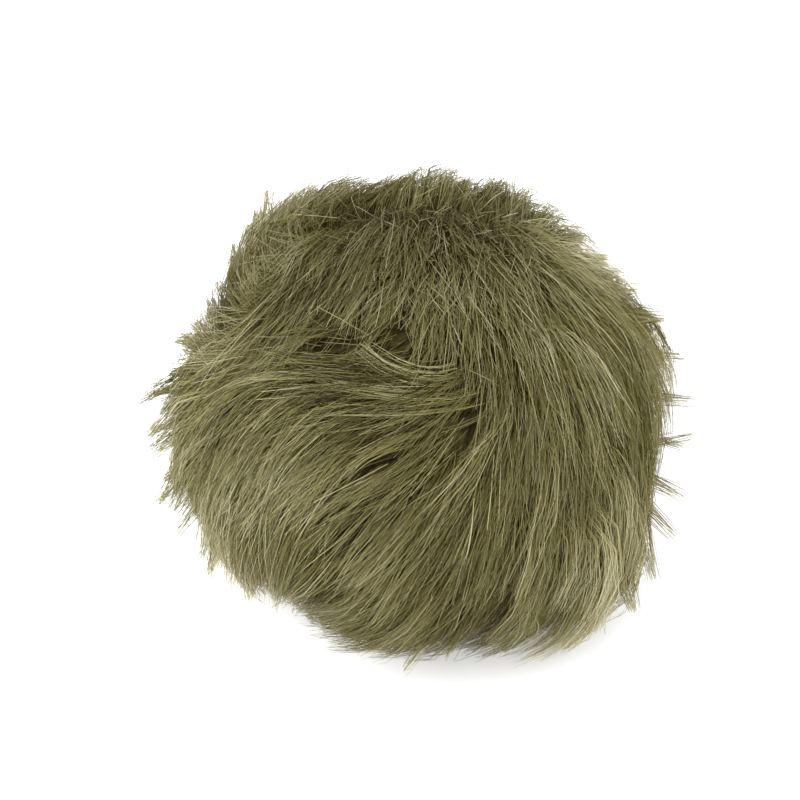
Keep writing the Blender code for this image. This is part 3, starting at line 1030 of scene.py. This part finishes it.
# %% Edge tufts
Tuft = namedtuple("Tuft", "across down heading length wide tone")
# tone: each tuft's own shade on the chart, and for the pale tufts also painted glow of thin fur lit
# from behind
EDGE_TUFTS = [Tuft(*row) for row in (  # length and wide, half the foot's width, in mm
    # left
    (139, 402, 208, 13, 2.6, 0.4), (144, 396, 190, 11, 2.0, 0.45),
    (160, 414, 226, 13, 4.4, 0.86), (151, 441, 218, 14, 4.6, 0.74),
    (156, 456, 222, 12, 3.8, 0.6), (164, 480, 216, 11, 3.6, 0.62),
    (161, 506, 236, 12, 4.2, 0.66), (172, 511, 246, 11, 3.4, 0.6),
    (176, 535, 238, 11, 2.2, 0.62), (194, 556, 250, 13, 3.2, 0.86),
    (206, 570, 256, 13, 3.0, 0.88), (219, 580, 260, 14, 3.4, 0.92),
    (237, 589, 264, 13, 3.2, 0.92), (250, 601, 267, 14, 3.6, 0.9),
    (262, 588, 264, 11, 2.6, 0.8), (293, 606, 226, 10, 2.8, 0.76),
    (306, 618, 214, 10, 3.0, 0.76), (181, 334, 150, 12, 4.2, 0.7),
    (190, 321, 138, 12, 3.8, 0.74), (203, 311, 128, 12, 3.8, 0.78),
    (212, 296, 118, 12, 3.6, 0.78), (220, 280, 108, 13, 4.2, 0.74),
    (174, 352, 176, 10, 3.2, 0.56), (170, 376, 188, 10, 3.2, 0.6),
    (224, 262, 102, 11, 4.2, 0.78), (231, 243, 98, 11, 3.8, 0.8),
    (230, 236, 95, 12, 0.8, 0.4), (248, 224, 92, 11, 4.2, 0.82),
    # top
    (260, 210, 90, 12, 4.4, 0.82), (273, 189, 92, 13, 3.8, 0.84),
    (284, 200, 82, 12, 4.4, 0.84), (300, 190, 68, 12, 4.4, 0.86),
    (290, 207, 72, 10, 3.4, 0.72), (316, 187, 60, 12, 3.8, 0.84),
    (330, 181, 58, 12, 3.6, 0.86), (346, 177, 56, 12, 3.6, 0.86),
    (318, 192, 58, 12, 5.0, 0.8), (340, 188, 54, 12, 5.0, 0.74),
    (362, 190, 46, 11, 5.0, 0.58), (415, 178, 52, 11, 5.0, 0.5),
    (470, 180, 80, 11, 5.0, 0.42), (486, 184, 78, 11, 5.0, 0.42),
    (506, 192, 70, 11, 5.0, 0.44), (528, 204, 60, 11, 5.0, 0.46),
    (546, 216, 52, 11, 5.0, 0.52), (372, 186, 40, 10, 2.6, 0.56),
    (398, 177, 34, 11, 2.6, 0.54), (436, 173, 70, 10, 2.4, 0.56),
    (450, 178, 80, 9, 2.2, 0.5), (498, 182, 78, 10, 2.4, 0.46),
    (512, 182, 74, 10.5, 2.6, 0.46), (532, 190, 68, 10, 2.6, 0.48),
    (558, 213, 50, 10, 2.4, 0.62), (585, 238, 24, 11, 4.0, 0.84),
    (608, 259, 12, 12, 4.4, 0.9), (624, 270, 6, 11, 4.2, 0.88),
    (638, 285, 0, 11, 4.0, 0.84),
    # right
    (664, 322, -4, 9, 2.2, 0.6), (684, 351, 0, 10.5, 1.2, 0.54),
    (695, 403, -6, 10.5, 1.2, 0.5), (692, 434, 14, 10, 0.9, 0.5),
    (687, 452, -20, 10, 1.0, 0.5), (684, 497, -26, 12, 1.6, 0.54),
    (676, 535, -44, 12, 1.5, 0.54), (668, 372, -40, 10, 1.2, 0.6),
    (655, 580, -84, 10, 3.0, 0.8), (634, 612, -72, 9, 2.6, 0.8),
    # below
    (604, 634, -98, 8, 1.9, 0.84), (560, 648, -115, 9, 1.9, 0.8),
    (503, 652, -142, 10, 2.6, 0.72), (444, 657, -162, 10, 2.6, 0.72),
    (402, 664, -165, 10.5, 2.2, 0.76), (372, 648, -165, 10, 2.2, 0.76),
    (322, 632, -170, 10, 2.2, 0.8),
)]
TUFT_HAIRS = 17  # for each millimetre of half width
TUFT_SHORTEST = 0.45  # the share by which the shortest hair of a tuft is shorter
TUFT_POINT = 0.00022  # half its width at the tip
TUFT_NARROWING = 1.1  # how soon a tuft narrows
TUFT_BOW = 0.0009
TUFT_OWN_BOWS, TUFT_BOWS = 0.6, 0.8  # how bows differ from hair to hair and from tuft to tuft
TUFT_INSIDE = 0.001  # a tuft starts at least this far inside the fur
TUFT_SINK = 0.91  # how deep in the fur a tuft starts
TUFT_BACK = -0.4  # the hairs of a tuft start between these shares of the way to the front
TUFT_FRONT = 0.9
TUFT_GATHER = 0.85  # how far they come together in depth as well
TUFT_LOOK = Look((0, 4, 8, 12), 0.000075, 0.5, 0.16)


# %% Grow the edge tufts
def grow_tuft(tuft):
    """The paths of one bundle of hairs, from the middle of the ball."""
    ahead = along_face(tuft.heading)
    aside = np.cross(FACE_OUT, ahead)
    across = (tuft.across - MIDDLE_DOT[0]) * DOT
    up = (MIDDLE_DOT[1] - tuft.down) * DOT
    tip = across * FACE_RIGHT + up * FACE_UP
    start = tip - ahead * tuft.length / 1000.0
    rim = fur_reach(unit(start)[None])[0] * TUFT_SINK
    near = min(sizes_of(start), rim - TUFT_INSIDE)
    start = unit(start) * near
    hairs = (round(tuft.wide * TUFT_HAIRS), 1, 1)
    reach = 1.0 - TUFT_SHORTEST * chance.random(hairs) ** 2
    side = chance.uniform(-1.0, 1.0, hairs)
    front = chance.uniform(-1.0, 1.0, hairs)
    depth = chance.uniform(TUFT_BACK, TUFT_FRONT, hairs) * math.sqrt(rim**2 - near**2)
    bow = chance.normal(0.0, TUFT_OWN_BOWS, hairs) + chance.normal(0.0, TUFT_BOWS)
    share = ALONG[None, :, None] * reach
    wide = tuft.wide / 1000.0
    width = TUFT_POINT + (wide - TUFT_POINT) * (1.0 - share) ** TUFT_NARROWING
    paths = start + (tip - start) * share + FACE_OUT * depth * (1.0 - TUFT_GATHER * share)
    paths = paths + (aside * side + FACE_OUT * front) * width
    return paths + aside * bow * TUFT_BOW * share * (2.0 - share)


paths, tones = grow_rows(EDGE_TUFTS, grow_tuft)
paths[:, :, 2] = np.maximum(paths[:, :, 2], FLOOR)
grow_bundles("edge_tufts", paths, TUFT_LOOK, tones)

# %% [markdown]
# ## Floor, light and camera
#
# The ball lies on a plain white floor in soft light from all round, with a large soft lamp above
# and to the left. So much white round the fur lights its thin edges from behind, which is why they
# glow; the pale tips, tufts and edges of the hair are painted glow on top of that.

# %% Floor
FLOOR_SIZE = 6.0
FLOOR_COLOUR = (0.93, 0.93, 0.93, 1.0)


def make_floor():
    bm = bmesh.new()
    bmesh.ops.create_grid(bm, x_segments=1, y_segments=1, size=FLOOR_SIZE / 2.0)
    floor = place_mesh("floor", bm)
    material, _, shader = plain_material("white floor", roughness=0.9, specular=0.1)
    shader.inputs["Base Color"].default_value = FLOOR_COLOUR
    floor.data.materials.append(material)
    return floor


floor = make_floor()
print("floor, m:", FLOOR_SIZE)

# %% Lamps and the room
Lamp = namedtuple("Lamp", "name place power size")
LAMPS = (
    Lamp("key", (-0.45, -0.45, 0.95), 12.0, 0.8),
    Lamp("fill", (0.30, -0.95, 0.45), 7.0, 0.9),
)
ROOM_LIGHT = {"Color": (1.0, 1.0, 1.0, 1.0), "Strength": 1.40}


def add_object(name, data, place, look):
    """An object for a lamp or camera, at a place and looking along a direction."""
    thing = bpy.data.objects.new(name, data)
    thing.location = place
    thing.rotation_euler = Vector(look).to_track_quat("-Z", "Y").to_euler()
    bpy.context.scene.collection.objects.link(thing)
    return thing


for row in LAMPS:
    lamp = bpy.data.lights.new(row.name, "AREA")
    lamp.energy = row.power
    lamp.size = row.size
    add_object(row.name, lamp, row.place, Vector(MIDDLE) - Vector(row.place))
world = bpy.data.worlds.new("white room")
bpy.context.scene.world = world
world.use_nodes = True
for socket, value in ROOM_LIGHT.items():
    world.node_tree.nodes["Background"].inputs[socket].default_value = value

# %% Camera
camera_data = bpy.data.cameras.new("camera")
camera_data.lens = LENS
camera_data.sensor_width = SENSOR
camera = add_object("camera", camera_data, MIDDLE + EYE, -FACE_OUT)
bpy.context.scene.camera = camera
bpy.context.scene.view_settings.view_transform = "Standard"
print("camera distance, m:", round(EYE_AWAY, 3))
